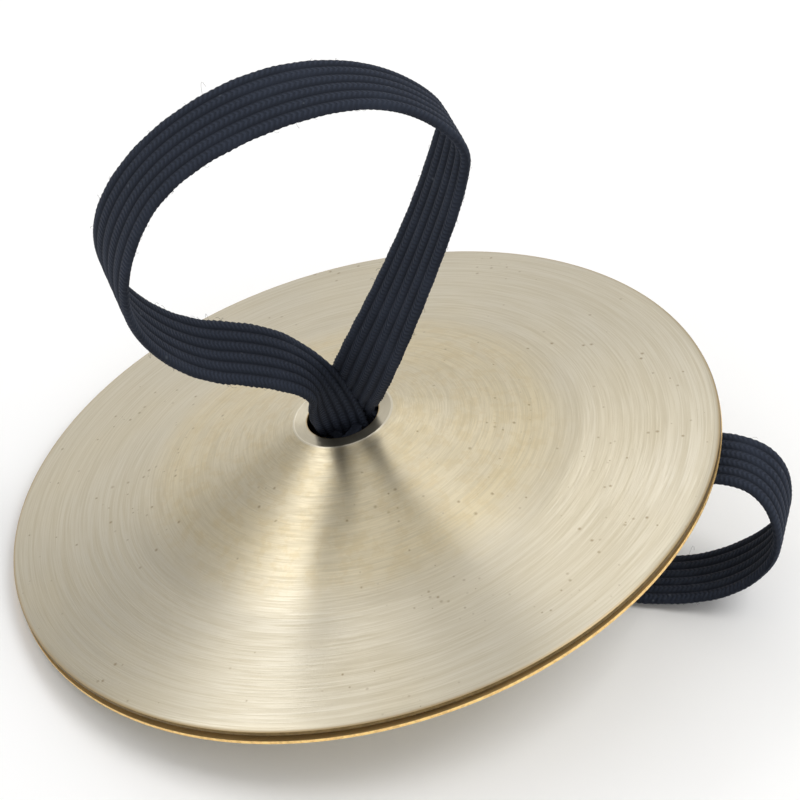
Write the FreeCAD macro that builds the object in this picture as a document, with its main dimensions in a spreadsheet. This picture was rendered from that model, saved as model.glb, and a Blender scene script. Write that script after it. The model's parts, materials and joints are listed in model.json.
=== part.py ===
import FreeCAD, Part
import math
import os
import Sketcher

# A pair of spun-brass finger cymbals lying face to face, each with a flat braided
# elastic through its centre hole. The pair leans on its left rim and on the elastic
# that comes out from under the lower bell. +Z is up, Z = 0 is the surface it lies on,
# and the origin is under the middle of the pair.

SIZES = (
    # the pressing, measured in a cymbal's own frame: its rim plane is Z = 0, dome up
    ("rim_radius", 30.0),
    ("sheet", 0.34),
    ("rim_bevel", 0.15),
    ("crease_radius", 18.9),
    ("crease_height", 1.99),
    ("crease_blend", 5.0),
    ("land_radius", 4.2),
    ("land_height", 6.69),
    ("land_blend", 0.4),
    ("hole_radius", 3.0),
    # how the pair lies
    ("land_lift", 0.3),
    ("rim_opening", 0.6),
    ("opening_bearing", -136.0),
    ("rim_gap", 0.06),
    ("pair_shift", 0.1),
    # the elastic
    ("strap_width", 6.0),
    ("strap_thickness", 0.8),
    ("neck_width", 3.6),
    ("neck_runs", 2.0),
    ("tail_width", 5.6),
    # the knot that keeps the elastic from pulling through the hole
    ("knot_radius", 4.1),
    ("knot_height", 4.2),
    ("knot_round", 1.5),
    ("knot_gap", 0.1),
)

# Each elastic's middle line, in millimetres in the part's frame, from one strand inside
# its knot, round the finger loop and back to the other, and beside each point the
# direction across the elastic from one edge to the other.
UPPER_ROUTE = (
    ((-1.0, -0.5, 13.5), (1.0, 0.0, 0.25)),
    ((-2.3, -2.2, 17.6), (0.9, 0.35, 0.25)),
    ((-4.2, -3.5, 21.8), (-0.3, 0.9, 0.2)),
    ((-7.6, -4.9, 24.6), (-0.35, 0.9, 0.3)),
    ((-13.8, -8.1, 27.6), (-0.35, 0.9, 0.3)),
    ((-18.2, -11.5, 34.3), (-0.35, 0.9, 0.3)),
    ((-18.5, -14.1, 42.1), (-0.5, 0.8, 0.3)),
    ((-14.7, -14.6, 49.7), (-0.35, 0.95, 0.15)),
    ((-6.9, -13.2, 54.2), (-0.35, 0.9, 0.25)),
    ((1.5, -10.0, 53.8), (-0.3, 0.95, 0.0)),
    ((7.7, -8.1, 49.0), (-0.3, 0.95, 0.0)),
    ((6.5, -7.9, 44.6), (-0.4, 0.9, 0.15)),
    ((5.0, -6.9, 38.2), (-0.4, 0.9, 0.2)),
    ((2.4, -6.3, 30.0), (-0.5, 0.85, 0.25)),
    ((0.0, -4.1, 22.6), (-0.6, 0.65, 0.45)),
    ((-1.3, 0.9, 17.4), (-1.0, 0.1, 0.0)),
    ((-1.0, 0.6, 13.5), (-1.0, 0.0, -0.25)),
)
LOWER_ROUTE = (
    ((1.0, 0.0, 2.5), (0.0, 1.0, 0.0)),
    ((1.5, 0.0, 0.45), (0.0, 1.0, 0.0)),
    ((4.2, -0.4, 0.42), (0.0, 1.0, 0.0)),
    ((10.0, -2.0, 0.42), (0.15, 1.0, 0.0)),
    ((18.5, -3.2, 0.42), (0.15, 1.0, 0.0)),
    ((26.5, -4.6, 0.8), (0.15, 1.0, 0.0)),
    ((31.5, -5.6, 3.4), (0.1, 1.0, 0.1)),
    ((34.6, -6.4, 8.0), (0.2, 0.95, 0.05)),
    ((33.0, -5.3, 13.6), (0.4, 0.9, 0.0)),
    ((27.5, -3.0, 13.4), (0.35, 0.9, 0.2)),
    ((20.5, 0.0, 7.6), (0.1, 0.95, 0.2)),
    ((14.0, 0.8, 3.4), (0.0, 1.0, 0.1)),
    ((8.2, 0.4, 1.9), (0.0, 1.0, 0.0)),
    ((4.9, 0.1, 1.4), (0.0, 1.0, 0.0)),
    ((2.9, 0.0, 1.4), (0.0, 1.0, 0.0)),
    ((2.0, 0.0, 2.8), (0.0, 1.0, 0.0)),
)

# The two cut tails of each elastic, in its own cymbal's frame: they leave the knot's
# sides and lie out under the bell. A tail on the other side is turned half round.
TAIL_ROUTE = (
    ((0.6, 2.8, 3.8), (1.0, 0.0, 0.0)),
    ((0.4, 5.4, 3.5), (1.0, 0.0, 0.0)),
    ((0.2, 8.2, 2.5), (1.0, 0.0, 0.1)),
    ((0.0, 11.0, 2.1), (1.0, 0.0, 0.1)),
)

doc = FreeCAD.newDocument("finger_cymbals")
sheet = doc.addObject("Spreadsheet::Sheet", "sizes")
for row, (alias, value) in enumerate(SIZES, start=1):
    sheet.set("A%d" % row, str(value))
    sheet.setAlias("A%d" % row, alias)
doc.recompute()


def size(alias):
    """The value of one driving dimension."""
    return float(sheet.get(alias))


def bind(thing, prop, alias):
    """Tie a property or constraint to a cell of the sheet."""
    thing.setExpression(prop, "sizes." + alias)


def plane(body, role):
    """One of a body's own origin planes."""
    return [item for item in body.Origin.OriginFeatures if item.Role == role][0]


def new_sketch(body, name, role):
    sketch = body.newObject("Sketcher::SketchObject", name)
    sketch.AttachmentSupport = [(plane(body, role), "")]
    sketch.MapMode = "FlatFace"
    return sketch


def closed_outline(sketch, corners):
    """Straight lines through the corners, joined end to end. Returns the line count."""
    count = len(corners)
    for index in range(count):
        start = FreeCAD.Vector(corners[index][0], corners[index][1], 0)
        end = FreeCAD.Vector(corners[(index + 1) % count][0], corners[(index + 1) % count][1], 0)
        sketch.addGeometry(Part.LineSegment(start, end), False)
    for index in range(count):
        sketch.addConstraint(Sketcher.Constraint("Coincident", index, 2, (index + 1) % count, 1))
    return count


def measure(sketch, kind, parts, alias):
    """Add a dimension and tie it to the sheet."""
    index = sketch.addConstraint(Sketcher.Constraint(kind, *parts, size(alias)))
    bind(sketch, "Constraints[%d]" % index, alias)


def ring_edges(feature, wanted):
    """Names of the circular edges at given (radius, height) places in the feature."""
    names = []
    for index, edge in enumerate(feature.Shape.Edges, start=1):
        curve = edge.Curve
        if not isinstance(curve, Part.Circle):
            continue
        for radius, height in wanted:
            if abs(curve.Radius - radius) < 0.02 and abs(curve.Center.z - height) < 0.02:
                names.append("Edge%d" % index)
    return names


def make_cymbal(label, placement):
    """Spun brass cymbal: flat land round the hole, straight bell, low conical flange."""
    body = doc.addObject("PartDesign::Body", label)
    body.Label = label
    rim, crease, land, hole = (size(n) for n in ("rim_radius", "crease_radius", "land_radius", "hole_radius"))
    top, knee, wall = size("land_height"), size("crease_height"), size("sheet")
    section = new_sketch(body, label + "_section", "XZ_Plane")
    # rim wall, flange, bell, land, hole wall, and back along the inside
    closed_outline(section, (
        (rim, 0.0), (rim, wall), (crease, knee), (land, top),
        (hole, top), (hole, top - wall), (land - 0.1, top - wall), (crease - 0.1, knee - wall),
    ))
    for line in (0, 4):
        section.addConstraint(Sketcher.Constraint("Vertical", line))
    for line in (3, 5):
        section.addConstraint(Sketcher.Constraint("Horizontal", line))
    section.addConstraint(Sketcher.Constraint("PointOnObject", 0, 1, -1))
    measure(section, "DistanceX", (-1, 1, 0, 1), "rim_radius")
    measure(section, "DistanceX", (-1, 1, 2, 1), "crease_radius")
    measure(section, "DistanceY", (-1, 1, 2, 1), "crease_height")
    measure(section, "DistanceX", (-1, 1, 3, 1), "land_radius")
    measure(section, "DistanceY", (-1, 1, 3, 1), "land_height")
    measure(section, "DistanceX", (-1, 1, 4, 1), "hole_radius")
    measure(section, "DistanceY", (5, 1, 4, 1), "sheet")
    section.addConstraint(Sketcher.Constraint("Parallel", 6, 2))
    section.addConstraint(Sketcher.Constraint("Parallel", 7, 1))
    measure(section, "Distance", (7, 1, 1), "sheet")
    measure(section, "Distance", (7, 1, 2), "sheet")
    spun = body.newObject("PartDesign::Revolution", label + "_spun")
    spun.Profile = section
    spun.ReferenceAxis = (section, ["V_Axis"])
    spun.Angle = 360.0
    doc.recompute()
    inner_knee = section.getPoint(7, 1)
    rim_top = section.getPoint(1, 1)
    blend = body.newObject("PartDesign::Fillet", label + "_crease")
    blend.Base = (spun, ring_edges(spun, ((crease, knee), (inner_knee.x, inner_knee.y))))
    bind(blend, "Radius", "crease_blend")
    doc.recompute()
    shoulder = body.newObject("PartDesign::Fillet", label + "_shoulder")
    shoulder.Base = (blend, ring_edges(blend, ((land, top),)))
    bind(shoulder, "Radius", "land_blend")
    doc.recompute()
    bevel = body.newObject("PartDesign::Chamfer", label + "_bevel")
    bevel.Base = (shoulder, ring_edges(shoulder, ((rim, rim_top.y),)))
    bind(bevel, "Size", "rim_bevel")
    doc.recompute()
    body.Placement = placement
    return body


def make_knot(label, placement):
    """The knot as a plain rounded plug of its real size, just under the land."""
    body = doc.addObject("PartDesign::Body", label)
    body.Label = label
    outline = new_sketch(body, label + "_outline", "XY_Plane")
    outline.addGeometry(Part.Circle(FreeCAD.Vector(), FreeCAD.Vector(0, 0, 1), size("knot_radius")), False)
    outline.addConstraint(Sketcher.Constraint("Coincident", 0, 3, -1, 1))
    measure(outline, "Radius", (0,), "knot_radius")
    plug = body.newObject("PartDesign::Pad", label + "_plug")
    plug.Profile = outline
    bind(plug, "Length", "knot_height")
    doc.recompute()
    rounded = body.newObject("PartDesign::Fillet", label + "_rounded")
    radius = size("knot_radius")
    rounded.Base = (plug, ring_edges(plug, ((radius, 0.0), (radius, size("knot_height")))))
    bind(rounded, "Radius", "knot_round")
    doc.recompute()
    height = size("land_height") - size("sheet") - size("knot_gap") - size("knot_height")
    body.Placement = placement.multiply(FreeCAD.Placement(FreeCAD.Vector(0, 0, height), FreeCAD.Rotation()))
    return body


def smooth_side(one_edge, other_edge):
    """One long side of an elastic, between two edges that their points steer."""
    spans = len(one_edge) - 2
    knots = [index / spans for index in range(spans + 1)]
    counts = [3] + [1] * (spans - 1) + [3]
    side = Part.BSplineSurface()
    side.buildFromPolesMultsKnots([one_edge, other_edge], [2, 2], counts, [0, 1], knots, False, False, 1, 2)
    return side.toShape()


def ribbon(route, widths, thickness):
    """A closed flat strip that follows the route, each point with its own width."""
    points = [FreeCAD.Vector(*point) for point, across in route]
    last = len(points) - 1
    corners = [[], [], [], []]
    for index, point in enumerate(points):
        along = points[min(index + 1, last)] - points[max(index - 1, 0)]
        along.normalize()
        across = FreeCAD.Vector(*route[index][1])
        across = across - along * across.dot(along)
        across.normalize()
        face = along.cross(across)
        for corner, (side, level) in enumerate(((1, 1), (-1, 1), (-1, -1), (1, -1))):
            offset = across * (side * widths[index] / 2) + face * (level * thickness / 2)
            corners[corner].append(point + offset)
    faces = [smooth_side(corners[n], corners[(n + 1) % 4]) for n in range(4)]
    for end in (0, -1):
        faces.append(Part.Face(Part.makePolygon([line[end] for line in corners] + [corners[0][end]])))
    skin = Part.makeCompound(faces)
    skin.sewShape()
    solid = Part.makeSolid(skin.Shells[0])
    if solid.Volume < 0:
        solid.reverse()
    return solid


def route_length(route):
    """How long the smooth middle line of a route is."""
    points = [FreeCAD.Vector(*point) for point, across in route]
    spans = len(points) - 2
    counts = [3] + [1] * (spans - 1) + [3]
    line = Part.BSplineCurve()
    line.buildFromPolesMultsKnots(points, counts, [index / spans for index in range(spans + 1)], False, 2)
    return line.length()


def loop_widths(route):
    """The elastic's width at each point: squeezed in the hole, full round the finger."""
    last = len(route) - 1
    widths = []
    for index in range(len(route)):
        freed = min(min(index, last - index) / (size("neck_runs") + 1), 1.0) ** 2
        widths.append(size("neck_width") + (size("strap_width") - size("neck_width")) * freed)
    return widths


def make_strap(label, shape):
    strap = doc.addObject("Part::Feature", label)
    strap.Label = label
    strap.Shape = shape
    return strap


def make_tails(label, placement):
    """Both tails of one elastic, as two separate strips."""
    widths = [size("neck_width")] + [size("tail_width")] * (len(TAIL_ROUTE) - 1)
    first = ribbon(TAIL_ROUTE, widths, size("strap_thickness"))
    second = first.copy()
    second.rotate(FreeCAD.Vector(), FreeCAD.Vector(0, 0, 1), 180)
    tails = make_strap(label, Part.makeCompound([first, second]))
    tails.Placement = placement
    return tails


# ---- how the pair lies -------------------------------------------------------------
reach = size("rim_radius") - size("land_radius")
drop = size("land_height") - size("sheet")
lean = math.degrees(math.atan2(drop, reach) + math.asin(size("land_lift") / math.hypot(reach, drop)))
lean_turn = FreeCAD.Rotation(FreeCAD.Vector(0, 1, 0), -lean)
pair_axis = lean_turn.multVec(FreeCAD.Vector(0, 0, 1))
height = (size("rim_radius") * math.sin(math.radians(lean))
          + size("sheet") * math.cos(math.radians(lean)))
lower_centre = FreeCAD.Vector(size("pair_shift"), 0, height)

bearing = math.radians(size("opening_bearing"))
opening = lean_turn.multVec(FreeCAD.Vector(math.cos(bearing), math.sin(bearing), 0))
hinge_line = pair_axis.cross(opening)
wedge_turn = FreeCAD.Rotation(hinge_line, -size("rim_opening"))
touch = lower_centre - opening * size("rim_radius") + pair_axis * size("rim_gap")
upper_centre = touch + wedge_turn.multVec(opening) * size("rim_radius")

upper_place = FreeCAD.Placement(upper_centre, wedge_turn.multiply(lean_turn))
flip = FreeCAD.Rotation(FreeCAD.Vector(1, 0, 0), 180)
lower_place = FreeCAD.Placement(lower_centre, lean_turn.multiply(flip))

# ---- the pieces --------------------------------------------------------------------
pieces = []
for side, place, route in (("upper", upper_place, UPPER_ROUTE), ("lower", lower_place, LOWER_ROUTE)):
    pieces.append(make_cymbal(side + "_cymbal", place))
    loop = ribbon(route, loop_widths(route), size("strap_thickness"))
    print(side, "loop length", round(route_length(route), 1), "volume", round(loop.Volume, 1))
    pieces.append(make_strap(side + "_strap_loop", loop))
    pieces.append(make_knot(side + "_strap_knot", place))
    pieces.append(make_tails(side + "_strap_tails", place))
doc.recompute()

for item in doc.Objects:
    if "Invalid" in item.State or "Error" in item.State:
        raise RuntimeError(item.Name + " did not build")
for piece in pieces:
    if piece.Shape.isNull() or not piece.Shape.isValid():
        raise RuntimeError(piece.Label + " is not a valid solid")
print("lean", round(lean, 3), "upper axis", upper_place.Rotation.multVec(FreeCAD.Vector(0, 0, 1)))
print("upper centre", upper_centre, "lower centre", lower_centre)

os.makedirs("parts", exist_ok=True)
for piece in pieces:
    piece.Shape.exportStep("parts/" + piece.Label + ".step")
    print(piece.Label, "volume", round(piece.Shape.Volume, 2))
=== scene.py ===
import json
import math
import random

import bmesh
import bpy
from mathutils import Matrix, Vector


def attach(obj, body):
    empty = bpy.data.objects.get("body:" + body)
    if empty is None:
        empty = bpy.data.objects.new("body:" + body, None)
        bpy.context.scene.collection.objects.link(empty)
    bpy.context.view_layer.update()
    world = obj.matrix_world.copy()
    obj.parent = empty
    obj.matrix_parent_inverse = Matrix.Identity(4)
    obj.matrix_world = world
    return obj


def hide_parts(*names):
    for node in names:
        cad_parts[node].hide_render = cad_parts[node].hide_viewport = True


bl_info = {
    "name": "Finger Cymbals",
    "version": (1, 0, 0),
    "blender": (4, 5, 0),
    "location": "3D View > Sidebar > Finger Cymbals",
    "description": "Spun brass finger cymbals with braided elastic finger loops",
    "category": "Object",
}

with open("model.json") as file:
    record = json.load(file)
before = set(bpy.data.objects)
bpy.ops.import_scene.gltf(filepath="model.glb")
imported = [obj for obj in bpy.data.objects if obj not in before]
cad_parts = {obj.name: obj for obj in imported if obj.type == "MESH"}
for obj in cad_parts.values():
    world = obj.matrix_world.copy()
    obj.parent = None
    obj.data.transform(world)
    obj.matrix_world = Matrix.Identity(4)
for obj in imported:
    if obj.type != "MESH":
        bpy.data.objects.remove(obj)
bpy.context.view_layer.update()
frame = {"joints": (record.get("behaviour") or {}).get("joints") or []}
JOINTS = {joint["name"]: joint for joint in frame["joints"]}

MM = 0.001
SIDES = ("upper", "lower")
MATERIALS = {}

# ---- tones that go with the brass, the elastic and the room ------------------------
TARNISH = Vector((0.30, 0.22, 0.12))
HONEY = Vector((0.60, 0.47, 0.25))
LINT = Vector((0.12, 0.135, 0.16))
SHEEN_TINT = (0.45, 0.52, 0.75, 1.0)
# The upper rim's cut side is darkened as painted shade of its undercut, the lower one's is lightened as a
# painted highlight
CUT_EDGE_SHADE_AND_HIGHLIGHT = {"upper": 0.40, "lower": 2.3}
ROOM_COLOUR = Vector((1.0, 0.995, 0.985))
ROOM_STRENGTH = 0.78
DULL_SIDE = (-0.67, 0.52, 0.53)
DULL_SHARE = 0.53
BROAD_RINGS = 620.0
# Turned rings of the bell and the flange, and the turning tool's slight wave in them
BELL_RINGS, FLANGE_RINGS = 22, 16
TOOL_WAVE = 0.006 * MM
LIP_RISE = 0.018 * MM
# Name, direction from the object, distance and size in metres, power in watts
SOFTBOXES = (
    ("left_softbox", (-0.53, 0.30, 0.79), 0.6, (0.40, 0.17), 0.29),
    ("back_softbox", (-0.10, 0.69, 0.71), 0.7, (0.14, 0.20), 0.13),
    ("top_softbox", (0.45, -0.20, 0.85), 0.7, (0.30, 0.30), 1.6),
)

# ---- the elastic's routes ----------------------------------------------------------
# Each loop's middle line in metres, from one strand inside its knot, round the finger
# and back to the other, and beside each point the direction across the elastic.
# They follow the solid straps' own routes, with a few points of the upper moved.
UPPER_ROUTE = (
    ((-0.0015, -0.0005, 0.0135), (1.0, 0.0, 0.25)),
    ((-0.0024, -0.0021, 0.0176), (0.9, 0.35, 0.25)),
    ((-0.0041, -0.0036, 0.0219), (-0.3, 0.85, 0.42)),
    ((-0.0076, -0.0050, 0.0246), (-0.35, 0.85, 0.5)),
    ((-0.0138, -0.0082, 0.0275), (-0.35, 0.87, 0.42)),
    ((-0.0182, -0.0115, 0.0343), (-0.35, 0.9, 0.3)),
    ((-0.0185, -0.0141, 0.0421), (-0.5, 0.8, 0.3)),
    ((-0.0147, -0.0146, 0.0497), (-0.35, 0.95, 0.15)),
    ((-0.0069, -0.0132, 0.0542), (-0.35, 0.9, 0.25)),
    ((0.0011, -0.0100, 0.0536), (-0.3, 0.95, 0.0)),
    ((0.0071, -0.0081, 0.0487), (-0.3, 0.95, 0.0)),
    ((0.0065, -0.0079, 0.0446), (-0.4, 0.9, 0.15)),
    ((0.0050, -0.0069, 0.0382), (-0.4, 0.9, 0.2)),
    ((0.0024, -0.0063, 0.0300), (-0.5, 0.85, 0.25)),
    ((-0.0001, -0.0037, 0.0216), (-0.62, 0.68, 0.35)),
    ((-0.0011, 0.0003, 0.0165), (-1.0, 0.4, 0.3)),
    ((-0.0010, 0.0006, 0.0135), (-1.0, 0.0, -0.25)),
)
LOWER_ROUTE = (
    ((0.0010, 0.0000, 0.0025), (0.0, 1.0, 0.0)),
    ((0.0015, 0.0000, 0.00045), (0.0, 1.0, 0.0)),
    ((0.0042, -0.0004, 0.00042), (0.0, 1.0, 0.0)),
    ((0.0100, -0.0020, 0.00042), (0.15, 1.0, 0.0)),
    ((0.0185, -0.0032, 0.00042), (0.15, 1.0, 0.0)),
    ((0.0265, -0.0046, 0.0008), (0.15, 1.0, 0.0)),
    ((0.0315, -0.0056, 0.0034), (0.1, 1.0, 0.1)),
    ((0.0346, -0.0064, 0.0080), (0.2, 0.95, 0.05)),
    ((0.0330, -0.0053, 0.0136), (0.4, 0.9, 0.0)),
    ((0.0275, -0.0030, 0.0134), (0.35, 0.9, 0.2)),
    ((0.0205, 0.0000, 0.0076), (0.1, 0.95, 0.2)),
    ((0.0140, 0.0008, 0.0034), (0.0, 1.0, 0.1)),
    ((0.0082, 0.0004, 0.0019), (0.0, 1.0, 0.0)),
    ((0.0049, 0.0001, 0.0014), (0.0, 1.0, 0.0)),
    ((0.0029, 0.0000, 0.0014), (0.0, 1.0, 0.0)),
    ((0.0020, 0.0000, 0.0028), (0.0, 1.0, 0.0)),
)
ROUTES = {"upper": UPPER_ROUTE, "lower": LOWER_ROUTE}

# The cut tails and the knot's own winding, in a cymbal's frame: rim plane Z = 0, dome up
TAIL_ROUTE = (
    ((0.0006, 0.0028, 0.0038), (1.0, 0.0, 0.0)),
    ((0.0004, 0.0054, 0.0035), (1.0, 0.0, 0.0)),
    ((0.0002, 0.0082, 0.0025), (1.0, 0.0, 0.1)),
    ((0.0000, 0.0110, 0.0021), (1.0, 0.0, 0.1)),
)


# ---- sizes and colours that a user would change ------------------------------------
class CymbalSettings(bpy.types.PropertyGroup):
    """The pressing, measured in a cymbal's own frame."""

    rim_radius: bpy.props.FloatProperty(
        name="Rim radius", description="Radius of the rim", default=30.0 * MM, unit="LENGTH")
    sheet: bpy.props.FloatProperty(
        name="Sheet", description="Thickness of the brass", default=0.34 * MM, unit="LENGTH")
    rim_height: bpy.props.FloatProperty(
        name="Rim height", description="Top of the rim over the rim plane",
        default=0.3437 * MM, unit="LENGTH")
    crease_radius: bpy.props.FloatProperty(
        name="Crease radius", description="Radius where bell meets flange",
        default=18.9 * MM, unit="LENGTH")
    crease_height: bpy.props.FloatProperty(
        name="Crease height", description="Top of the crease over the rim plane",
        default=1.99 * MM, unit="LENGTH")
    crease_blend: bpy.props.FloatProperty(
        name="Crease blend", description="Half width of the rounded crease",
        default=0.42 * MM, unit="LENGTH")
    land_radius: bpy.props.FloatProperty(
        name="Land radius", description="Radius of the flat round the hole",
        default=4.2 * MM, unit="LENGTH")
    land_height: bpy.props.FloatProperty(
        name="Land height", description="Top of the flat over the rim plane",
        default=6.69 * MM, unit="LENGTH")
    hole_radius: bpy.props.FloatProperty(
        name="Hole radius", description="Radius of the centre hole", default=3.0 * MM, unit="LENGTH")
    rim_bevel: bpy.props.FloatProperty(
        name="Rim bevel", description="Worn bevel on the rim", default=0.18 * MM, unit="LENGTH")
    facets: bpy.props.IntProperty(
        name="Facets", description="Faces round the cymbal", default=240, min=48)
    colour: bpy.props.FloatVectorProperty(
        name="Flange brass", description="Turned face of the flange", subtype="COLOR", size=3,
        default=(0.680, 0.628, 0.512))
    bell_colour: bpy.props.FloatVectorProperty(
        name="Bell brass", description="Warmer turned face of the bell", subtype="COLOR", size=3,
        default=(0.715, 0.622, 0.430))
    edge_colour: bpy.props.FloatVectorProperty(
        name="Cut edge", description="Brass on cut and rubbed edges", subtype="COLOR", size=3,
        default=(0.42, 0.285, 0.115))
    roughness: bpy.props.FloatProperty(
        name="Roughness", description="Roughness of the turned face",
        default=0.33, min=0.0, max=1.0)


class ElasticSettings(bpy.types.PropertyGroup):
    """The braided elastic."""

    width: bpy.props.FloatProperty(
        name="Width", description="Full width of the elastic", default=6.0 * MM, unit="LENGTH")
    thickness: bpy.props.FloatProperty(
        name="Thickness", description="Thickness over the ribs", default=0.8 * MM, unit="LENGTH")
    neck_width: bpy.props.FloatProperty(
        name="Neck width", description="Width where it is squeezed in the hole",
        default=3.6 * MM, unit="LENGTH")
    tail_width: bpy.props.FloatProperty(
        name="Tail width", description="Width of the cut tails", default=5.6 * MM, unit="LENGTH")
    ribs: bpy.props.IntProperty(
        name="Ribs", description="Lengthwise ribs on each face", default=6, min=2)
    pick: bpy.props.FloatProperty(
        name="Pick", description="Length of one stitch of the braid",
        default=0.40 * MM, unit="LENGTH")
    ring_step: bpy.props.FloatProperty(
        name="Ring step", description="Spacing of the mesh's rings",
        default=0.10 * MM, unit="LENGTH")
    colour: bpy.props.FloatVectorProperty(
        name="Yarn", description="Dark blue-black yarn", subtype="COLOR", size=3,
        default=(0.0115, 0.0145, 0.0226))
    # A lighter copy of the yarn, laid on the rib crowns as painted sheen and on random patches
    crown_sheen_and_patch_colour: bpy.props.FloatVectorProperty(
        name="Crown sheen and patch yarn", description="Yarn on the crowns of the ribs", subtype="COLOR", size=3,
        default=(0.0290, 0.0365, 0.0560))


class StageSettings(bpy.types.PropertyGroup):
    """Floor, light and camera."""

    floor_size: bpy.props.FloatProperty(
        name="Floor", description="Side of the floor", default=8.0, unit="LENGTH")
    floor_colour: bpy.props.FloatVectorProperty(
        name="Floor colour", description="Plain pale floor", subtype="COLOR", size=3,
        default=(0.95, 0.95, 0.95))
    elevation: bpy.props.FloatProperty(
        name="Elevation", description="Camera height over the horizon",
        default=math.radians(38.489), subtype="ANGLE")
    bearing: bpy.props.FloatProperty(
        name="Bearing", description="Camera turn about the vertical",
        default=math.radians(-0.12), subtype="ANGLE")
    roll: bpy.props.FloatProperty(
        name="Roll", description="Camera roll", default=math.radians(0.522), subtype="ANGLE")
    position: bpy.props.FloatVectorProperty(
        name="Camera position", description="Where the camera stands", subtype="TRANSLATION", size=3,
        default=(0.00260, -0.21147, 0.18438))
    lens: bpy.props.FloatProperty(
        name="Lens", description="Focal length in millimetres on a 36 mm sensor", default=149.985)


def settings():
    scene = bpy.context.scene
    return scene.cymbal_settings, scene.elastic_settings, scene.stage_settings


# ---- modelling helpers -------------------------------------------------------------
def deselect_all():
    if bpy.context.mode != "OBJECT":
        bpy.ops.object.mode_set(mode="OBJECT")
    bpy.ops.object.select_all(action="DESELECT")


def activate(piece):
    deselect_all()
    piece.select_set(True)
    bpy.context.view_layer.objects.active = piece


def cymbal_place(side):
    """A cymbal's own frame (rim plane Z = 0, dome up) in the part's frame."""
    joint = JOINTS[side + "_elastic_swivel"]
    dome = Vector(joint["axis"]).normalized()
    if side == "lower":
        dome = -dome
    across = Vector((1.0, 0.0, 0.0))
    across = (across - dome * across.dot(dome)).normalized()
    turn = Matrix((across, dome.cross(across), dome)).transposed().to_4x4()
    return Matrix.Translation(joint["pos_m"]) @ turn


def select_ring(mesh_edit, radius, height=None, spread=0.02 * MM):
    """Select the edges whose two ends lie at a radius (and height)."""
    for edge in mesh_edit.edges:
        fits = all(abs(Vector(v.co[:2]).length - radius) < spread for v in edge.verts)
        if height is not None:
            fits = fits and all(abs(v.co.z - height) < spread for v in edge.verts)
        edge.select = fits
    mesh_edit.select_flush(True)


def fresh_selection(piece):
    """The active piece's edit mesh with nothing selected, in edge mode."""
    bpy.ops.mesh.select_mode(type="EDGE")
    bpy.ops.mesh.select_all(action="DESELECT")
    return bmesh.from_edit_mesh(piece.data)


def apply_modifier(piece, kind, name, **values):
    modifier = piece.modifiers.new(name, kind)
    for key, value in values.items():
        setattr(modifier, key, value)
    bpy.ops.object.modifier_apply(modifier=modifier.name)


# ---- materials: shared effects -----------------------------------------------------
class Wiring:
    """Short hand for placing and joining nodes in one tree."""

    def __init__(self, tree):
        self.tree = tree

    def add(self, kind, **values):
        node = self.tree.nodes.new(kind)
        for key, value in values.items():
            setattr(node, key, value)
        return node

    def join(self, source, target):
        self.tree.links.new(source, target)

    def feed(self, socket, value):
        """Join a socket's source, or set its plain value."""
        if isinstance(value, bpy.types.NodeSocket):
            self.join(value, socket)
        else:
            socket.default_value = value

    def math(self, operation, first, second=0.0, third=0.0, clamp=False):
        node = self.add("ShaderNodeMath", operation=operation, use_clamp=clamp)
        for socket, value in zip(node.inputs, (first, second, third)):
            self.feed(socket, value)
        return node.outputs[0]

    def vector(self, x=0.0, y=0.0, z=0.0):
        node = self.add("ShaderNodeCombineXYZ")
        for socket, value in zip(node.inputs, (x, y, z)):
            self.feed(socket, value)
        return node.outputs[0]

    def split(self, vector):
        node = self.add("ShaderNodeSeparateXYZ")
        self.join(vector, node.inputs[0])
        return node.outputs

    def noise(self, vector, scale, detail=2.0, roughness=0.5):
        node = self.add("ShaderNodeTexNoise")
        self.join(vector, node.inputs["Vector"])
        self.feed(node.inputs["Scale"], scale)
        node.inputs["Detail"].default_value = detail
        node.inputs["Roughness"].default_value = roughness
        return node.outputs[0]

    def ramp(self, value, low, high, to_low=0.0, to_high=1.0):
        node = self.add("ShaderNodeMapRange", interpolation_type="SMOOTHSTEP")
        for socket, number in zip(node.inputs, (value, low, high, to_low, to_high)):
            self.feed(socket, number)
        return node.outputs[0]

    def mix(self, factor, first, second, blend="MIX"):
        node = self.add("ShaderNodeMix", data_type="RGBA", blend_type=blend)
        self.feed(node.inputs["Factor"], factor)
        for socket, value in ((node.inputs[6], first), (node.inputs[7], second)):
            self.feed(socket, value if isinstance(value, bpy.types.NodeSocket) else (*value, 1.0))
        return node.outputs[2]

    def tint(self, tone, mask, share, colour):
        """Lay up to a share of a colour over a tone, where a mask says."""
        return self.mix(self.math("MULTIPLY", mask, share), tone, colour)

    def invert(self, value):
        return self.math("SUBTRACT", 1.0, value)

    def bump(self, height, strength, distance, normal=None):
        node = self.add("ShaderNodeBump")
        node.inputs["Strength"].default_value = strength
        node.inputs["Distance"].default_value = distance
        self.join(height, node.inputs["Height"])
        if normal is not None:
            self.join(normal, node.inputs["Normal"])
        return node.outputs[0]


def new_group(name, inputs, outputs):
    """An empty shader node group with named sockets, and its wiring."""
    group = bpy.data.node_groups.new(name, "ShaderNodeTree")
    for label, kind, value in inputs:
        socket = group.interface.new_socket(label, in_out="INPUT", socket_type=kind)
        if value is not None:
            socket.default_value = value
    for label, kind in outputs:
        group.interface.new_socket(label, in_out="OUTPUT", socket_type=kind)
    wiring = Wiring(group)
    return group, wiring, wiring.add("NodeGroupInput").outputs, wiring.add("NodeGroupOutput").inputs


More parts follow.
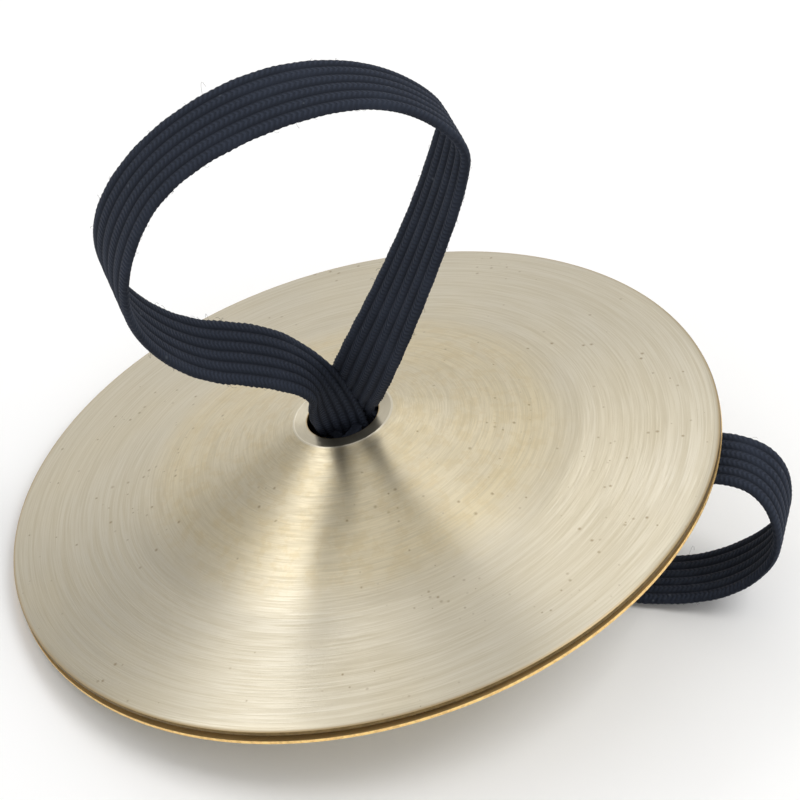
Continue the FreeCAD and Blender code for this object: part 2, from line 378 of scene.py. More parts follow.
def lathe_marks_group():
    """Concentric turning marks about Z: fine rings, broad bands and broken streaks."""
    group, w, given, put = new_group(
        "Lathe marks",
        (("Vector", "NodeSocketVector", None), ("Rings per metre", "NodeSocketFloat", 9000.0)),
        (("Radius", "NodeSocketFloat"), ("Fine", "NodeSocketFloat"),
         ("Broad", "NodeSocketFloat"), ("Streaks", "NodeSocketFloat")),
    )
    x, y = w.split(given["Vector"])[:2]
    radius = w.math("SQRT", w.math("ADD", w.math("MULTIPLY", x, x), w.math("MULTIPLY", y, y)))
    safe = w.math("MAXIMUM", radius, 1e-5)
    across, ahead = w.math("DIVIDE", x, safe), w.math("DIVIDE", y, safe)
    rings = w.math("MULTIPLY", radius, given["Rings per metre"])

    def streaked(outwards, turns, detail, roughness=0.5):
        """Noise drawn out round the axis: the fewer turns, the longer its streaks."""
        place = w.vector(outwards, w.math("MULTIPLY", across, turns), w.math("MULTIPLY", ahead, turns))
        return w.noise(place, 1.0, detail, roughness)

    fine = streaked(rings, 4.5, 3.0, 0.6)
    broad_place = w.vector(w.math("MULTIPLY", radius, BROAD_RINGS), w.math("MULTIPLY", across, 0.5), ahead)
    broad = w.noise(broad_place, 1.0, 2.0)
    streaks = streaked(w.math("MULTIPLY", rings, 0.42), 2.4, 2.0, 0.7)
    for label, value in (("Radius", radius), ("Fine", fine), ("Broad", broad), ("Streaks", streaks)):
        w.join(value, put[label])
    return group


def specks_group():
    """Sparse small marks with soft edges, such as pits or lint."""
    group, w, given, put = new_group(
        "Specks",
        (("Vector", "NodeSocketVector", None), ("Density", "NodeSocketFloat", 300.0),
         ("Size", "NodeSocketFloat", 0.1), ("Share", "NodeSocketFloat", 0.2)),
        (("Mask", "NodeSocketFloat"),),
    )
    cells = w.add("ShaderNodeTexVoronoi")
    w.join(given["Vector"], cells.inputs["Vector"])
    w.join(given["Density"], cells.inputs["Scale"])
    chance = w.split(cells.outputs["Color"])
    kept = w.math("LESS_THAN", chance[0], given["Share"])
    reach = w.math("MULTIPLY", given["Size"], w.math("ADD", chance[1], 0.35))
    near = w.math("SUBTRACT", 1.0, w.math("DIVIDE", cells.outputs["Distance"], reach), clamp=True)
    w.join(w.math("MULTIPLY", kept, w.math("SMOOTH_MIN", near, 1.0, 0.3)), put["Mask"])
    return group


def place_group(wiring, group, values):
    node = wiring.add("ShaderNodeGroup")
    node.node_tree = group
    for label, value in values.items():
        wiring.feed(node.inputs[label], value)
    return node.outputs


def new_material(name):
    material = bpy.data.materials.new(name)
    material.use_nodes = True
    material.node_tree.nodes.clear()
    wiring = Wiring(material.node_tree)
    shader = wiring.add("ShaderNodeBsdfPrincipled")
    wiring.join(shader.outputs[0], wiring.add("ShaderNodeOutputMaterial").inputs["Surface"])
    return material, wiring, shader.inputs


def cymbal_coordinates(wiring, side):
    """Object coordinates brought into one cymbal's own frame."""
    mapping = wiring.add("ShaderNodeMapping", vector_type="POINT")
    inverse = cymbal_place(side).inverted()
    mapping.inputs["Location"].default_value = inverse.translation
    mapping.inputs["Rotation"].default_value = inverse.to_euler("XYZ")
    wiring.join(wiring.add("ShaderNodeTexCoord").outputs["Object"], mapping.inputs["Vector"])
    return mapping.outputs[0]


def turned_tone(w, own, marks, cloud, made, groups):
    """Colour of the turned face: pale flange, warm bell, land painted darker as painted shade with a
    painted highlight at its lip, marks and pits.
    """
    crowd = w.ramp(w.noise(own, 130.0, 1.0), 0.52, 0.66, 0.02, 0.55)
    pits, dust = (
        place_group(w, groups["specks"], {"Vector": own, "Density": density, "Size": size, "Share": share})
        for density, size, share in ((230.0, 0.06, 0.14), (1500.0, 0.24, crowd)))
    radius = marks["Radius"]
    bright, warm = Vector(made.colour), Vector(made.bell_colour)
    flange = w.ramp(radius, made.crease_radius - 4.5 * MM, made.crease_radius + 0.6 * MM)
    bell = w.invert(flange)
    tone = w.mix(w.math("MULTIPLY", bell, w.ramp(cloud, 0.25, 0.6, 0.55, 1.0)), bright, warm)
    tone = w.tint(tone, w.ramp(cloud, 0.35, 0.7), 0.35, warm * 0.97)
    tone = w.tint(tone, w.ramp(marks["Broad"], 0.35, 0.7), 0.35, bright * 1.03)
    tone = w.tint(tone, w.ramp(marks["Streaks"], 0.46, 0.64), 0.30, warm * 0.74)
    mottle = w.math("MULTIPLY", w.ramp(w.noise(own, 900.0, 4.0, 0.7), 0.46, 0.62), bell)
    tone = w.tint(tone, mottle, 0.30, HONEY)
    tone = w.tint(tone, w.ramp(marks["Fine"], 0.40, 0.62), 0.34, warm * 0.76)
    # The land is painted a darker tone, as painted shade on the flat top
    land = w.ramp(radius, made.land_radius + 0.05 * MM, made.land_radius - 0.03 * MM)
    tone = w.tint(tone, land, 0.7, bright * 0.76)
    # A lighter line at the land's lip, a painted highlight
    lip = w.ramp(radius, made.land_radius - 0.20 * MM, made.land_radius - 0.12 * MM)
    tone = w.tint(tone, w.math("MULTIPLY", land, lip), 0.6, bright * 1.2)
    tone = w.tint(tone, pits["Mask"], 0.75, TARNISH)
    return w.tint(tone, dust["Mask"], 0.90, TARNISH), pits["Mask"]


def turned_grooves(w, shader, anisotropy):
    """Stretch the shine across the grooves, whose direction the Turning map gives."""
    shader["Anisotropic"].default_value = anisotropy
    tangent = w.add("ShaderNodeTangent", direction_type="UV_MAP", uv_map="Turning")
    w.join(tangent.outputs[0], shader["Tangent"])


def turned_brass(side, made, groups):
    """Turned face of one cymbal, rubbed at its rim and at the edge of its hole."""
    material, w, shader = new_material("turned_brass_" + side)
    own = cymbal_coordinates(w, side)
    marks = place_group(w, groups["lathe"], {"Vector": own, "Rings per metre": 9500.0})
    cloud = w.noise(own, 70.0, 3.0, 0.55)
    tone, pits = turned_tone(w, own, marks, cloud, made, groups)
    rubbed = w.ramp(marks["Radius"], made.rim_radius - 0.34 * MM, made.rim_radius - 0.02 * MM)
    hole_edge = w.ramp(marks["Radius"], made.hole_radius + 0.14 * MM, made.hole_radius + 0.02 * MM)
    tone = w.tint(tone, w.math("MAXIMUM", rubbed, hole_edge), 0.8, made.edge_colour)
    w.join(tone, shader["Base Color"])
    grain = w.ramp(marks["Fine"], 0.2, 0.8, -0.035, 0.05)
    cloudy = w.ramp(cloud, 0.3, 0.7, made.roughness - 0.02, made.roughness + 0.03)
    duller = w.math("ADD", w.math("MULTIPLY", rubbed, 0.16), cloudy)
    w.join(w.math("ADD", grain, duller), shader["Roughness"])
    shader["Metallic"].default_value = 1.0
    turned_grooves(w, shader, 0.72)
    grooves = w.bump(marks["Fine"], 0.6, 0.02 * MM)
    w.join(w.bump(w.math("MULTIPLY", pits, -1.0), 0.5, 0.05 * MM, grooves), shader["Normal"])
    return material


def inside_brass(side, made, groups):
    """The unpolished hollow side, browned towards the rim."""
    material, w, shader = new_material("inside_brass_" + side)
    own = cymbal_coordinates(w, side)
    marks = place_group(w, groups["lathe"], {"Vector": own, "Rings per metre": 5000.0})
    cloud = w.noise(own, 110.0, 3.0, 0.6)
    bright, brown = Vector(made.bell_colour), Vector(made.edge_colour)
    tone = w.mix(w.ramp(cloud, 0.3, 0.7), bright * 0.80, bright * 0.98)
    tone = w.tint(tone, w.ramp(marks["Fine"], 0.40, 0.64), 0.30, brown)
    browned = w.ramp(marks["Radius"], made.rim_radius - 2.4 * MM, made.rim_radius - 0.2 * MM)
    w.join(w.tint(tone, browned, 0.9, brown * 1.6), shader["Base Color"])
    w.join(w.ramp(browned, 0.0, 1.0, 1.0, 0.6), shader["Metallic"])
    w.join(w.ramp(cloud, 0.3, 0.7, 0.40, 0.52), shader["Roughness"])
    turned_grooves(w, shader, 0.6)
    w.join(w.bump(marks["Fine"], 0.5, 0.03 * MM), shader["Normal"])
    return material


def cut_brass(side, made, groups):
    """The sheared side of the sheet at rim and hole."""
    material, w, shader = new_material("cut_brass_" + side)
    own = cymbal_coordinates(w, side)
    marks = place_group(w, groups["lathe"], {"Vector": own, "Rings per metre": 7000.0})
    grain = w.noise(own, 2400.0, 3.0, 0.7)
    # Cut edge colour scaled per side: painted shade on the upper cymbal, painted highlight on the lower
    cut = Vector(made.edge_colour) * CUT_EDGE_SHADE_AND_HIGHLIGHT[side]
    tone = w.mix(w.ramp(grain, 0.35, 0.65), cut * 0.72, cut * 1.12)
    w.join(w.tint(tone, marks["Streaks"], 0.3, cut * 1.3), shader["Base Color"])
    shader["Metallic"].default_value = 0.85
    shader["Roughness"].default_value = 0.42
    w.join(w.bump(grain, 0.5, 0.03 * MM), shader["Normal"])
    return material


def elastic_material(made, groups):
    """Dark braided yarn: slanted stitches on each rib, painted sheen on the rib crowns, lighter patches and
    lint.
    """
    material, w, shader = new_material("braided_elastic")
    weave = w.add("ShaderNodeUVMap", uv_map="Braid").outputs[0]
    across, along = w.split(weave)[:2]
    own = w.add("ShaderNodeTexCoord").outputs["Object"]
    from_crown = w.math("ABSOLUTE", w.math("SUBTRACT", w.math("FRACT", across), 0.5))
    crown = w.ramp(from_crown, 0.5, 0.12)
    slanted = w.math("ADD", along, w.math("MULTIPLY", from_crown, 1.3))
    stitch = w.ramp(w.math("SINE", w.math("MULTIPLY", slanted, math.tau)), -1.0, 1.0)
    threads = w.vector(w.math("MULTIPLY", across, 9.0), w.math("MULTIPLY", slanted, 2.2))
    yarn = w.noise(threads, 1.0, 3.0, 0.65)
    patches = w.noise(own, 260.0, 3.0)
    lint = place_group(w, groups["specks"], {"Vector": own, "Density": 1500.0, "Size": 0.24, "Share": 0.06})
    raised = w.math("ADD", w.math("MULTIPLY", stitch, 0.55), w.math("MULTIPLY", yarn, 0.6))
    # The rib crowns take the lighter copy of the yarn as painted sheen
    tone = w.mix(w.math("MULTIPLY", crown, raised), made.colour, made.crown_sheen_and_patch_colour)
    tone = w.tint(tone, w.ramp(patches, 0.45, 0.75), 0.35, made.crown_sheen_and_patch_colour)
    tone = w.tint(tone, lint["Mask"], 0.5, LINT)
    w.join(tone, shader["Base Color"])
    w.join(w.ramp(yarn, 0.2, 0.8, 0.72, 0.92), shader["Roughness"])
    shader["Specular IOR Level"].default_value = 0.16
    shader["Sheen Weight"].default_value = 0.03
    shader["Sheen Roughness"].default_value = 0.45
    shader["Sheen Tint"].default_value = SHEEN_TINT
    braid = w.bump(w.math("MULTIPLY", stitch, crown), 0.8, 0.06 * MM)
    w.join(w.bump(yarn, 0.5, 0.04 * MM, braid), shader["Normal"])
    return material


def floor_material(made):
    material, w, shader = new_material("pale_floor")
    own = w.add("ShaderNodeTexCoord").outputs["Object"]
    cloud = w.noise(own, 3.0, 2.0)
    pale = Vector(made.floor_colour)
    w.join(w.mix(cloud, pale * 0.995, pale), shader["Base Color"])
    shader["Roughness"].default_value = 0.9
    shader["Specular IOR Level"].default_value = 0.1
    return material


def make_materials():
    cymbal, elastic, stage = settings()
    groups = {"lathe": lathe_marks_group(), "specks": specks_group()}
    for side in SIDES:
        MATERIALS[side] = [kind(side, cymbal, groups) for kind in (turned_brass, inside_brass, cut_brass)]
    MATERIALS["elastic"] = elastic_material(elastic, groups)
    MATERIALS["floor"] = floor_material(stage)


# ---- cymbals -----------------------------------------------------------------------
def ring_plan(made):
    """(radius, height) of each turned ring from the land's lip outwards, each run with its steps."""
    rings = [(made.land_radius - 0.19 * MM, made.land_height),
             (made.land_radius - 0.14 * MM, made.land_height + LIP_RISE),
             (made.land_radius - 0.08 * MM, made.land_height + LIP_RISE),
             (made.land_radius + 0.03 * MM, made.land_height - 0.045 * MM)]
    straight_runs = (
        (made.land_radius, made.land_height, made.crease_radius, made.crease_height, BELL_RINGS),
        (made.crease_radius, made.crease_height, made.rim_radius, made.rim_height, FLANGE_RINGS),
    )
    for start, top, end, low, count in straight_runs:
        for step in range(1, count + 1):
            share = step / count
            wave = TOOL_WAVE * math.sin(step * 2.4) * (step < count)
            rings.append((start + (end - start) * share, top + (low - top) * share + wave))
    return rings


def turning_map(piece):
    """UV map whose U runs outwards and V round the cymbal, so the grooves have a direction."""
    layer = piece.data.uv_layers.new(name="Turning")
    vertices = piece.data.vertices
    for face in piece.data.polygons:
        turns = []
        for loop in face.loop_indices:
            spot = vertices[piece.data.loops[loop].vertex_index].co
            turns.append(math.atan2(spot.y, spot.x) / math.tau)
        wraps = max(turns) - min(turns) > 0.5
        for loop, turn in zip(face.loop_indices, turns):
            spot = vertices[piece.data.loops[loop].vertex_index].co
            distance = math.hypot(spot.x, spot.y) + 0.2 * abs(spot.z)
            layer.data[loop].uv = (distance * 16.0, turn + (1.0 if wraps and turn < 0 else 0.0))


def spin_cymbal(name, made):
    """One cymbal in its own frame: a ring drawn outwards step by step, then given its sheet."""
    deselect_all()
    bpy.ops.mesh.primitive_circle_add(
        vertices=made.facets, radius=made.hole_radius, fill_type="NOTHING",
        location=(0.0, 0.0, made.land_height))
    piece = bpy.context.active_object
    piece.name = piece.data.name = name
    bpy.ops.object.transform_apply(location=True, rotation=True, scale=True)
    bpy.ops.object.mode_set(mode="EDIT")
    bpy.ops.mesh.select_mode(type="EDGE")
    bpy.ops.mesh.select_all(action="SELECT")
    radius, height = made.hole_radius, made.land_height
    for wider, level in ring_plan(made):
        bpy.ops.mesh.extrude_edges_move()
        bpy.ops.transform.translate(value=(0.0, 0.0, level - height))
        bpy.ops.transform.resize(
            value=(wider / radius, wider / radius, 1.0), center_override=(0.0, 0.0, level))
        radius, height = wider, level
    edit = fresh_selection(piece)
    select_ring(edit, made.crease_radius)
    bmesh.update_edit_mesh(piece.data)
    bpy.ops.mesh.bevel(offset=made.crease_blend, segments=4, affect="EDGES")
    bpy.ops.mesh.select_all(action="SELECT")
    bpy.ops.mesh.normals_make_consistent(inside=False)
    bpy.ops.object.mode_set(mode="OBJECT")
    if sum(face.normal.z for face in piece.data.polygons) < 0:
        piece.data.flip_normals()
    apply_modifier(piece, "SOLIDIFY", "sheet", thickness=made.sheet, offset=-1.0, use_even_offset=True)
    return piece


def soften_rings(piece, made):
    """Bevel the rim's upper corner and take the burr off the hole."""
    bpy.ops.object.mode_set(mode="EDIT")
    edit = fresh_selection(piece)
    select_ring(edit, made.rim_radius, made.rim_height)
    bmesh.update_edit_mesh(piece.data)
    bpy.ops.mesh.bevel(offset=made.rim_bevel, segments=2, affect="EDGES")
    edit = fresh_selection(piece)
    select_ring(edit, made.hole_radius, made.land_height)
    bmesh.update_edit_mesh(piece.data)
    bpy.ops.mesh.bevel(offset=0.06 * MM, segments=2, affect="EDGES")
    bpy.ops.object.mode_set(mode="OBJECT")


def finish_faces(piece):
    """Turned face 0, hollow side 1, cut edge 2, by how far up or down each face looks."""
    for face in piece.data.polygons:
        if face.normal.z < -0.4:
            face.material_index = 1
        elif abs(face.normal.z) < 0.35:
            face.material_index = 2


def make_cymbal(side):
    made = settings()[0]
    piece = spin_cymbal("turned_" + side + "_cymbal", made)
    soften_rings(piece, made)
    bpy.ops.object.shade_smooth_by_angle(angle=math.radians(28.0))
    turning_map(piece)
    for material in MATERIALS[side]:
        piece.data.materials.append(material)
    finish_faces(piece)
    piece.matrix_world = cymbal_place(side)
    activate(piece)
    bpy.ops.object.transform_apply(location=True, rotation=True, scale=True)
    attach(piece, side + "_disc")
    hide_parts(side + "_cymbal")
    return piece


# ---- elastic -----------------------------------------------------------------------
RIB_STEPS = 6                       # mesh steps across one rib
EDGE_PLACE = 0.9                    # where the uneven edge begins, of half the width
EDGE_INSET = 0.06 * MM
TOOTH_DEPTH = 0.055 * MM
EDGE_WANDER = 0.03 * MM
SQUEEZED_BOW = 0.10 * MM            # how far a squeezed strand bows across its width
# Share of the full width regained at the upper loop's points, counted from its knot
FIRST_STRAND = (0.25, 0.62, 0.95, 1.0)
LAST_STRAND = (0.0, 0.36, 0.86, 1.0)
KNOT_STEPS = 18
KNOT_WIDTH = 2.3 * MM
FIBRE_RADIUS = 0.009 * MM
FIBRES = {"upper": 110, "lower": 60}


def spline_points(points, name, resolution=24):
    """Points along the smooth line that a route's points steer."""
    curve = bpy.data.curves.new(name, "CURVE")
    curve.dimensions = "3D"
    curve.resolution_u = resolution
    spline = curve.splines.new("NURBS")
    spline.points.add(len(points) - 1)
    for point, place in zip(spline.points, points):
        point.co = (*place, 1.0)
    spline.order_u = 3
    spline.use_endpoint_u = True
    holder = bpy.data.objects.new(name, curve)
    line = bpy.data.meshes.new_from_object(holder)
    spots = [vertex.co.copy() for vertex in line.vertices]
    bpy.data.meshes.remove(line)
    bpy.data.objects.remove(holder)
    bpy.data.curves.remove(curve)
    return spots


def edge_points(route, widths):
    """The route's points moved to one edge of the elastic."""
    points = [Vector(point) for point, across in route]
    last = len(points) - 1
    edge = []
    for index, point in enumerate(points):
        along = (points[min(index + 1, last)] - points[max(index - 1, 0)]).normalized()
        across = Vector(route[index][1])
        across = (across - along * across.dot(along)).normalized()
        edge.append(point + across * widths[index] / 2)
    return points, edge


def resample(lines, step):
    """Several lines with shared parameters, at even steps along the first."""
    middle = lines[0]
    travelled = [0.0]
    for before, after in zip(middle, middle[1:]):
        travelled.append(travelled[-1] + (after - before).length)
    count = max(4, round(travelled[-1] / step))
    spread, index = [], 0
    for number in range(count + 1):
        target = travelled[-1] * number / count
        while index < len(middle) - 2 and travelled[index + 1] < target:
            index += 1
        gap = travelled[index + 1] - travelled[index]
        share = (target - travelled[index]) / gap if gap > 0 else 0.0
        spread.append([line[index].lerp(line[index + 1], share) for line in lines])
    return spread, travelled[-1]


def section_outline(made):
    """Half an elastic's section, edge to edge: (place across from -1 to 1, crown height 0 to 1)."""
    steps = made.ribs * RIB_STEPS
    outline = []
    for step in range(steps + 1):
        place = step / steps * 2.0 - 1.0
        rib = abs(math.sin(step / RIB_STEPS * math.pi))
        shoulder = math.sqrt(max(0.0, 1.0 - abs(place) ** 10))
        outline.append((place, shoulder * (0.60 + 0.40 * rib ** 0.7)))
    return outline


def stitch_wave(place, level, travelled, made):
    """One stitch's wave, slanted over its rib and half a stitch away from the next rib's."""
    ribs_across = (place + 1.0) / 2.0 * made.ribs
    rib = min(made.ribs - 1, int(ribs_across))
    phase = travelled / made.pick + 0.5 * (rib % 2) + (0.25 if level < 0 else 0.0)
    return math.sin(math.tau * (phase + abs(ribs_across % 1.0 - 0.5) * 0.9))


def edge_notch(place, travelled, made, drift):
    """How far the elastic's uneven edge stands out, growing from nothing at EDGE_PLACE."""
    teeth = math.sin(math.tau * (travelled / (made.pick * 1.35) + (0.5 if place > 0 else 0.0)))
    wander = math.sin(travelled / MM * 2.1 + drift * 6 + place)
    notch = TOOTH_DEPTH * teeth + EDGE_WANDER * wander
    return (notch if place > 0 else -notch) * (abs(place) - EDGE_PLACE) / (1.0 - EDGE_PLACE)


def strip_corners(rings, around, length, made, drift):
    """The elastic's surface points, ring by ring."""
    corners = []
    last = len(rings) - 1
    for index, (centre, side) in enumerate(rings):
        along = (rings[min(index + 1, last)][0] - rings[max(index - 1, 0)][0]).normalized()
        across = side - centre
        half = across.length
        across = (across - along * across.dot(along)).normalized()
        face = along.cross(across)
        travelled = length * index / last
        squeeze = min(1.0, half * 2 / made.width)
        for place, crown, level in around:
            stitch = 0.965 + 0.035 * stitch_wave(place, level, travelled, made)
            rise = crown * stitch * made.thickness / 2
            reach = place * (half - EDGE_INSET)
            if abs(place) > EDGE_PLACE:
                reach += edge_notch(place, travelled, made, drift)
            bow = SQUEEZED_BOW * (1.0 - squeeze) * (1.0 - place * place)
            corners.append(centre + across * reach + face * (level * rise + bow))
    return corners


def strip_faces(last, rows, half_rows):
    """Quads between neighbouring rings, and the two ends closed with strips of faces."""
    faces = []
    for index in range(last):
        low, high = index * rows, (index + 1) * rows
        for turn in range(rows):
            after = (turn + 1) % rows
            faces.append((low + turn, high + turn, high + after, low + after))
    for base, flip in ((0, False), (last * rows, True)):
        for step in range(half_rows - 1):
            loop = []
            for spot in (step, step + 1, (rows - step - 1) % rows, (rows - step) % rows):
                if base + spot not in loop:
                    loop.append(base + spot)
            faces.append(tuple(reversed(loop) if flip else loop))
    return faces


def braid_map(mesh, around, last, length, made):
    """UV map that counts ribs across and stitches along."""
    layer = mesh.uv_layers.new(name="Braid")
    for face in mesh.polygons:
        for loop in face.loop_indices:
            ring, turn = divmod(mesh.loops[loop].vertex_index, len(around))
            ribs_across = (around[turn][0] + 1.0) / 2.0 * made.ribs
            layer.data[loop].uv = (ribs_across, length * ring / last / made.pick)


def braided_strip(name, route, widths, made, seed):
    """A braided elastic strip along a route: ribbed faces, stitched ribs, notched edges."""
    middle, edge = edge_points(route, widths)
    lines = [spline_points(middle, name + "_middle"), spline_points(edge, name + "_edge")]
    rings, length = resample(lines, made.ring_step)
    outline = section_outline(made)
    around = [(place, crown, 1.0) for place, crown in outline]
    around += [(place, crown, -1.0) for place, crown in reversed(outline[1:-1])]
    last = len(rings) - 1
    mesh = bpy.data.meshes.new(name)
    corners = strip_corners(rings, around, length, made, random.Random(seed).uniform(0.0, 1.0))
    mesh.from_pydata(corners, [], strip_faces(last, len(around), len(outline)))
    braid_map(mesh, around, last, length, made)
    piece = bpy.data.objects.new(name, mesh)
    bpy.context.scene.collection.objects.link(piece)
    activate(piece)
    bpy.ops.object.mode_set(mode="EDIT")
    bpy.ops.mesh.select_all(action="SELECT")
    bpy.ops.mesh.normals_make_consistent(inside=False)
    bpy.ops.object.mode_set(mode="OBJECT")
    bpy.ops.object.shade_smooth_by_angle(angle=math.radians(50.0))
    mesh.materials.append(MATERIALS["elastic"])
    return piece, [ring[0] for ring in rings], length


def loop_widths(side, made, count):
    """Squeezed in the hole, full width round the finger."""
    widths = []
    for index in range(count):
        from_end = min(index, count - 1 - index)
        if side == "lower":
            freed = min(from_end / 3.0, 1.0) ** 2
        else:
            shares = FIRST_STRAND if index < count // 2 else LAST_STRAND
            freed = shares[min(from_end, 3)]
        widths.append(made.neck_width + (made.width - made.neck_width) * freed)
    return widths


def knot_route(side):
    """The doubled elastic's overhand knot, wound flat under the land."""
    place = cymbal_place(side)
    route = []
    for step in range(KNOT_STEPS + 1):
        turn = math.tau * step / KNOT_STEPS
        radius = (1.55 + 0.95 * math.cos(3 * turn)) * MM
        spot = Vector((radius * math.cos(2 * turn), radius * math.sin(2 * turn),
                       4.45 * MM + 1.10 * MM * math.sin(3 * turn)))
        outward = Vector((math.cos(2 * turn), math.sin(2 * turn), 1.6))
        route.append((tuple(place @ spot), tuple(place.to_3x3() @ outward)))
    return route


def tail_route(side, turned):
    place = cymbal_place(side)
    spin = Matrix.Rotation(math.pi if turned else 0.0, 4, "Z")
    return [(tuple(place @ spin @ Vector(point)), tuple((place @ spin).to_3x3() @ Vector(across)))
            for point, across in TAIL_ROUTE]


def stray_fibres(name, route, made, seed, count):
    """Fine loose fibre ends that stand off the elastic's two edges."""
    middle, edge = edge_points(route, [made.width] * len(route))
    spots, edges = spline_points(middle, name + "_middle"), spline_points(edge, name + "_edge")
    chance = random.Random(seed)
    curve = bpy.data.curves.new(name, "CURVE")
    curve.dimensions = "3D"
    curve.bevel_depth = FIBRE_RADIUS
    curve.bevel_resolution = 0
    curve.resolution_u = 4
    curve.use_fill_caps = True
    skipped = len(spots) // 6
    for number in range(count):
        index = chance.randrange(skipped, len(spots) - skipped)
        out = (edges[index] - spots[index]) * chance.choice((-1.0, 1.0))
        along = (spots[index + 1] - spots[index]).normalized()
        long = number < count // 30
        reach = chance.uniform(0.6, 1.1) * MM if long else chance.uniform(0.15, 0.5) * MM
        start = spots[index] + out * 0.95
        lift = out.normalized().cross(along) * reach * chance.uniform(-0.5, 0.5)
        slide = along * reach * chance.uniform(-1.2, 1.2)
        bend = out.normalized() * reach
        spline = curve.splines.new("NURBS")
        spline.points.add(3)
        tip = start + bend * (0.2 if long else 0.8) + slide + lift
        places = (start, start + bend * 0.7 + slide * 0.1, start + bend + slide * 0.8 + lift, tip)
        for point, place in zip(spline.points, places):
            point.co = (*place, 1.0)
        spline.order_u = 3
        spline.use_endpoint_u = True
    holder = bpy.data.objects.new(name, curve)
    bpy.context.scene.collection.objects.link(holder)
    activate(holder)
    bpy.ops.object.convert(target="MESH")
    piece = bpy.context.active_object
    piece.data.materials.clear()
    piece.data.materials.append(MATERIALS["elastic"])
    return piece


def joined(pieces, name):
    deselect_all()
    for piece in pieces:
        piece.select_set(True)
    bpy.context.view_layer.objects.active = pieces[0]
    bpy.ops.object.join()
    pieces[0].name = pieces[0].data.name = name
    return pieces[0]


def make_strap(side):
    made = settings()[1]
    route = ROUTES[side]
    loop, spots, length = braided_strip(
        side + "_finger_loop", route, loop_widths(side, made, len(route)), made, 3)
    knot_turns = knot_route(side)
    knot = braided_strip(side + "_knot", knot_turns, [KNOT_WIDTH] * len(knot_turns), made, 4)[0]
    tails = []
    for turned in (False, True):
        widths = [made.neck_width] + [made.tail_width] * (len(TAIL_ROUTE) - 1)
        tails.append(braided_strip(side + "_tail", tail_route(side, turned), widths, made, 5)[0])
    tails = joined(tails, side + "_cut_tails")
    body = side + "_elastic"
    fibres = stray_fibres(side + "_stray_fibres", route, made, 8, FIBRES[side])
    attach(fibres, body)
    for piece, node in ((loop, "_strap_loop"), (knot, "_strap_knot"), (tails, "_strap_tails")):
        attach(piece, body)
        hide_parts(side + node)


# ---- stage -------------------------------------------------------------------------
FLOOR_GAP = 0.02 * MM


def make_floor(made):
    deselect_all()
    bpy.ops.mesh.primitive_plane_add(size=made.floor_size, location=(0.0, 0.0, -FLOOR_GAP))
    floor = bpy.context.active_object
    floor.name = floor.data.name = "floor"
    bpy.ops.object.transform_apply(location=True, rotation=True, scale=True)
    floor.data.materials.append(MATERIALS["floor"])


def make_light(name, direction, distance, size, power):
    """A softbox that faces the middle of the object."""
    light = bpy.data.lights.new(name, "AREA")
    light.shape = "RECTANGLE"
    light.size, light.size_y = size
    light.energy = power
    holder = bpy.data.objects.new(name, light)
    bpy.context.scene.collection.objects.link(holder)
    towards = Vector(direction).normalized()
    holder.location = towards * distance
    holder.rotation_mode = "QUATERNION"
    holder.rotation_quaternion = towards.to_track_quat("Z", "Y")


def make_world():
    """A pale room, duller towards one side so that the turned brass shows its form."""
    world = bpy.data.worlds.new("studio")
    world.use_nodes = True
    w = Wiring(world.node_tree)
    background = world.node_tree.nodes["Background"]
    facing = w.add("ShaderNodeVectorMath", operation="DOT_PRODUCT")
    w.join(w.add("ShaderNodeTexCoord").outputs["Generated"], facing.inputs[0])
    facing.inputs[1].default_value = Vector(DULL_SIDE).normalized()
    dull = w.ramp(facing.outputs["Value"], 0.93, 0.99)
    w.join(w.mix(dull, ROOM_COLOUR, ROOM_COLOUR * DULL_SHARE), background.inputs["Color"])
    background.inputs["Strength"].default_value = ROOM_STRENGTH
    bpy.context.scene.world = world


def make_camera(made):
    data = bpy.data.cameras.new("camera")
    data.lens, data.sensor_width = made.lens, 36.0
    data.clip_start, data.clip_end = 0.01, 20.0
    camera = bpy.data.objects.new("camera", data)
    bpy.context.scene.collection.objects.link(camera)
    turn = Matrix.Rotation(made.bearing, 4, "Z")
    tilt = Matrix.Rotation(math.pi / 2 - made.elevation, 4, "X")
    roll = Matrix.Rotation(made.roll, 4, "Z")
    camera.matrix_world = Matrix.Translation(made.position) @ turn @ tilt @ roll
    bpy.context.scene.camera = camera


# ---- operators ---------------------------------------------------------------------
class CYMBALS_OT_materials(bpy.types.Operator):
    """Make the turned brass, the braided elastic and the floor finish"""

    bl_idname = "cymbals.materials"
    bl_label = "Make finishes"

    def execute(self, context):
        make_materials()
        if len(MATERIALS) != 4:
            raise RuntimeError("a finish is missing")
        return {"FINISHED"}


class CYMBALS_OT_discs(bpy.types.Operator):
    """Spin both brass cymbals"""

    bl_idname = "cymbals.discs"
    bl_label = "Spin cymbals"

    def execute(self, context):
        for side in SIDES:
            piece = make_cymbal(side)
            if not piece.data.polygons:
                raise RuntimeError(side + " cymbal has no faces")
        return {"FINISHED"}


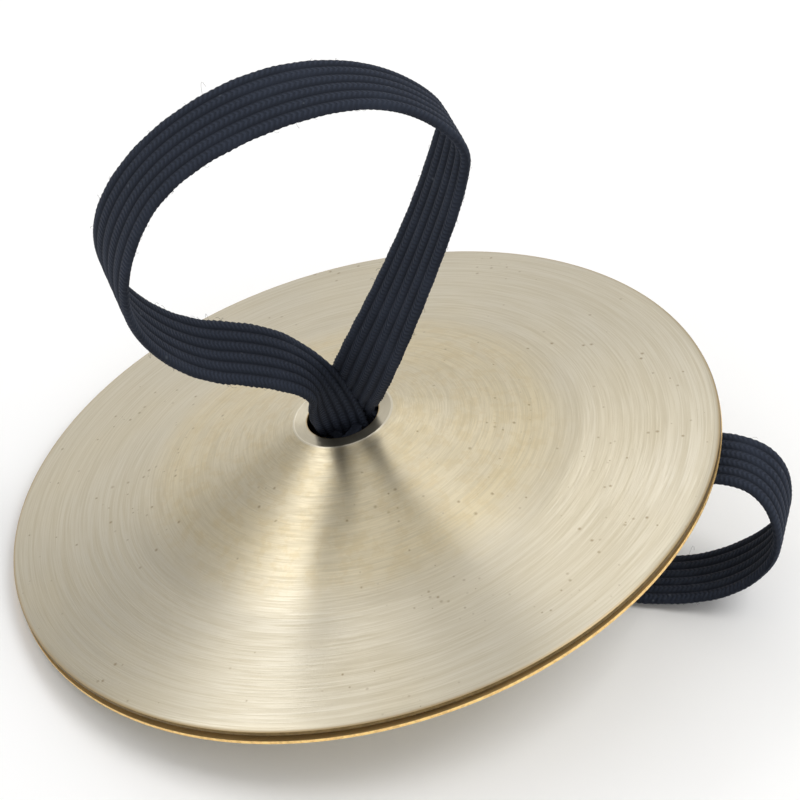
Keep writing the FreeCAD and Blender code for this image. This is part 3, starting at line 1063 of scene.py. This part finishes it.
class CYMBALS_OT_straps(bpy.types.Operator):
    """Braid both elastics with their knots and tails"""

    bl_idname = "cymbals.straps"
    bl_label = "Braid elastics"

    def execute(self, context):
        for side in SIDES:
            make_strap(side)
        return {"FINISHED"}


class CYMBALS_OT_stage(bpy.types.Operator):
    """Lay the floor, hang the softboxes and set the camera"""

    bl_idname = "cymbals.stage"
    bl_label = "Set stage"

    def execute(self, context):
        made = settings()[2]
        make_floor(made)
        make_world()
        for softbox in SOFTBOXES:
            make_light(*softbox)
        make_camera(made)
        if bpy.context.scene.camera is None:
            raise RuntimeError("there is no camera")
        return {"FINISHED"}


class CYMBALS_PT_panel(bpy.types.Panel):
    """Finger cymbals in the sidebar"""

    bl_label = "Finger Cymbals"
    bl_idname = "CYMBALS_PT_panel"
    bl_space_type = "VIEW_3D"
    bl_region_type = "UI"
    bl_category = "Finger Cymbals"

    def draw(self, context):
        layout = self.layout
        for group in settings():
            box = layout.box()
            for name in group.bl_rna.properties.keys():
                if name not in ("rna_type", "name"):
                    box.prop(group, name)
        for operator in OPERATORS:
            layout.operator(operator.bl_idname)


OPERATORS = (CYMBALS_OT_materials, CYMBALS_OT_discs, CYMBALS_OT_straps, CYMBALS_OT_stage)
GROUPS = (CymbalSettings, ElasticSettings, StageSettings)
SCENE_PROPERTIES = ("cymbal_settings", "elastic_settings", "stage_settings")


def register():
    for group, name in zip(GROUPS, SCENE_PROPERTIES):
        bpy.utils.register_class(group)
        setattr(bpy.types.Scene, name, bpy.props.PointerProperty(type=group))
    for kind in (*OPERATORS, CYMBALS_PT_panel):
        bpy.utils.register_class(kind)


def unregister():
    for kind in reversed((*OPERATORS, CYMBALS_PT_panel)):
        bpy.utils.unregister_class(kind)
    for group, name in reversed(tuple(zip(GROUPS, SCENE_PROPERTIES))):
        delattr(bpy.types.Scene, name)
        bpy.utils.unregister_class(group)


def main():
    register()
    bpy.context.scene.view_settings.view_transform = "Standard"
    bpy.ops.cymbals.materials()
    bpy.ops.cymbals.stage()
    bpy.ops.cymbals.straps()
    bpy.ops.cymbals.discs()


if __name__ == "__main__":
    main()
